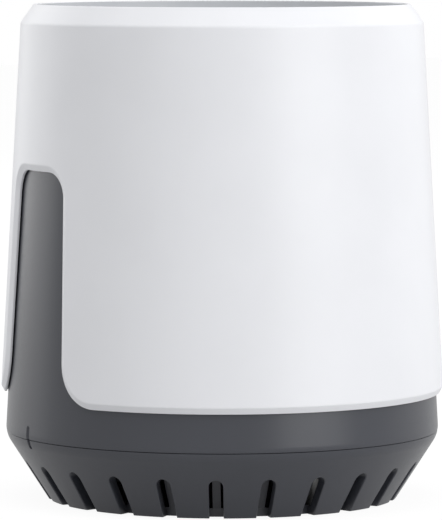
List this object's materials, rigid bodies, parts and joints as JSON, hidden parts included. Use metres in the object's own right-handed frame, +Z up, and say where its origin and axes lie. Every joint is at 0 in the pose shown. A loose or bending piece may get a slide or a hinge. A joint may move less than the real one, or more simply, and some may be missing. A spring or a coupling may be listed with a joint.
{
  "type": "rain sensor",
  "caption": "Self-emptying tipping-bucket rain sensor with a white tapered collector over a grey twist-lock barrel and a flared slotted base.",
  "frame": {"origin": "centre of the underside, on the surface that it stands on", "axes": "+Z up through the mouth; +X and -X through the two thumb notches; -Y the bare front; the electronics stand at +Y"},
  "size_m": [0.1098, 0.1122, 0.125],
  "materials": {
    "white_abs": "fine satin moulding",
    "grey_abs": "satin moulding",
    "dark_abs": "satin moulding",
    "acetal": "waxy moulding",
    "button_plastic": "satin moulding",
    "stainless": "drawn and passivated",
    "mesh_steel": "pierced sheet",
    "magnet_nickel": "nickel plated",
    "brass": "turned",
    "seal_rubber": "moulded",
    "board_green": "solder resist on glass laminate",
    "chip_black": "moulded epoxy",
    "tinned_steel": "tin plated",
    "reed_glass": "drawn tube",
    "clear_acrylic": "polished",
    "level_spirit": "liquid",
    "cell_jacket": "shrink film"
  },
  "bodies": {
    "base": {"base": "grey_abs", "chassis": "dark_abs", "drain_screen_left": "mesh_steel", "drain_screen_right": "mesh_steel", "chassis_screws": "stainless", "bearing_bracket_front": "acetal", "bearing_bracket_rear": "acetal", "bracket_screws": "stainless", "stop_screws": "brass", "electronics_case": "grey_abs", "case_cover": "grey_abs", "cover_gasket": "seal_rubber", "case_foot_seal": "seal_rubber", "cover_screws": "stainless", "circuit_board": "board_green", "radio_module": "tinned_steel", "processor": "chip_black", "reed_switch": "reed_glass", "antenna": "brass", "status_led": "clear_acrylic", "tact_switch": "chip_black", "light_pipe": "clear_acrylic", "cell_left": "cell_jacket", "cell_right": "cell_jacket", "cell_contacts": "tinned_steel", "level_cup": "acetal", "level_lens": "clear_acrylic", "level_fluid": "level_spirit"},
    "bucket": {"bucket": "dark_abs", "bucket_axle": "stainless", "bucket_magnet": "magnet_nickel"},
    "button": {"pair_button": "button_plastic"},
    "battery_door": {"battery_door": "grey_abs", "door_seal": "seal_rubber", "door_screw": "stainless", "door_contact": "tinned_steel"},
    "barrel": {"barrel": "grey_abs"},
    "collector": {"collector_shell": "white_abs", "funnel": "white_abs"},
    "strainer": {"leaf_screen": "grey_abs"}
  },
  "joints": [
    {"name": "barrel_twist", "type": "hinge", "parent": "base", "child": "barrel", "pos_m": [0, 0, 0.017], "axis": [0, 0, 1], "range_deg": [0, 18]},
    {"name": "collector_lift", "type": "slide", "parent": "barrel", "child": "collector", "axis": [0, 0, 1], "range_m": [0, 0.08]},
    {"name": "strainer_lift", "type": "slide", "parent": "collector", "child": "strainer", "axis": [0, 0, 1], "range_m": [0, 0.05]},
    {"name": "bucket_tip", "type": "hinge", "parent": "base", "child": "bucket", "pos_m": [0, 0, 0.033], "axis": [0, 1, 0], "range_deg": [0, 40]},
    {"name": "button_press", "type": "slide", "parent": "base", "child": "button", "axis": [0, 0, 1], "range_m": [0, 0.0008], "stiffness_N_per_m": 400, "springref_m": -0.0006},
    {"name": "battery_door_pull", "type": "slide", "parent": "base", "child": "battery_door", "axis": [0, 0, -1], "range_m": [0, 0.015]}
  ]
}
